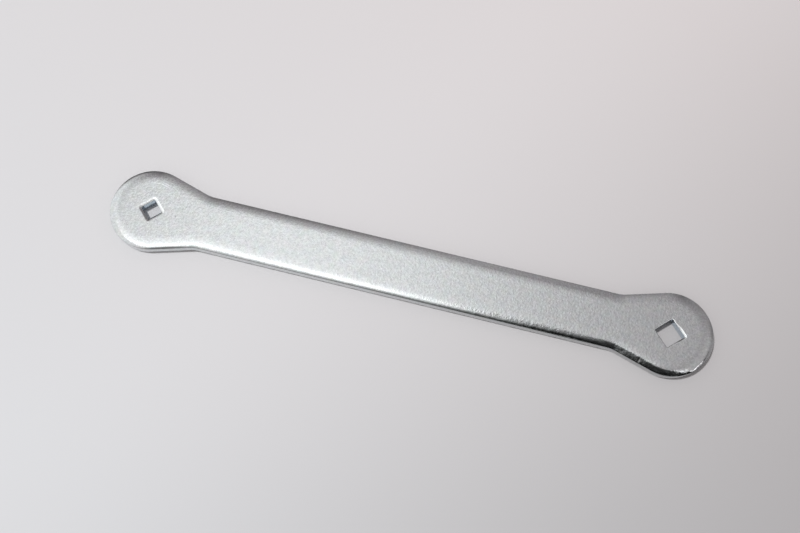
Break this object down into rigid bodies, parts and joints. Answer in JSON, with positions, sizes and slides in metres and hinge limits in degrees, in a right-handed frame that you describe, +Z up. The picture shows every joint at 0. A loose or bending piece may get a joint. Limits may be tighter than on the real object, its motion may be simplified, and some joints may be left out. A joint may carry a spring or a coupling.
{
  "type": "valve adjusting wrench",
  "caption": "Flat stamped steel wrench with a square socket in each round end, used to turn the square stems of valve clearance adjusters.",
  "frame": {"origin": "centre of the plate's underside, midway between the two sockets", "axes": "+X along the bar from the small socket to the large one, +Z up out of the face with the rolled edges"},
  "size_m": [0.116, 0.016, 0.0025],
  "materials": {
    "zinc_plated_steel": "bright zinc plate, satin and finely mottled on the faces, smoother on the rolled edges"
  },
  "bodies": {
    "root": {"wrench_plate": "zinc_plated_steel"}
  },
  "joints": []
}
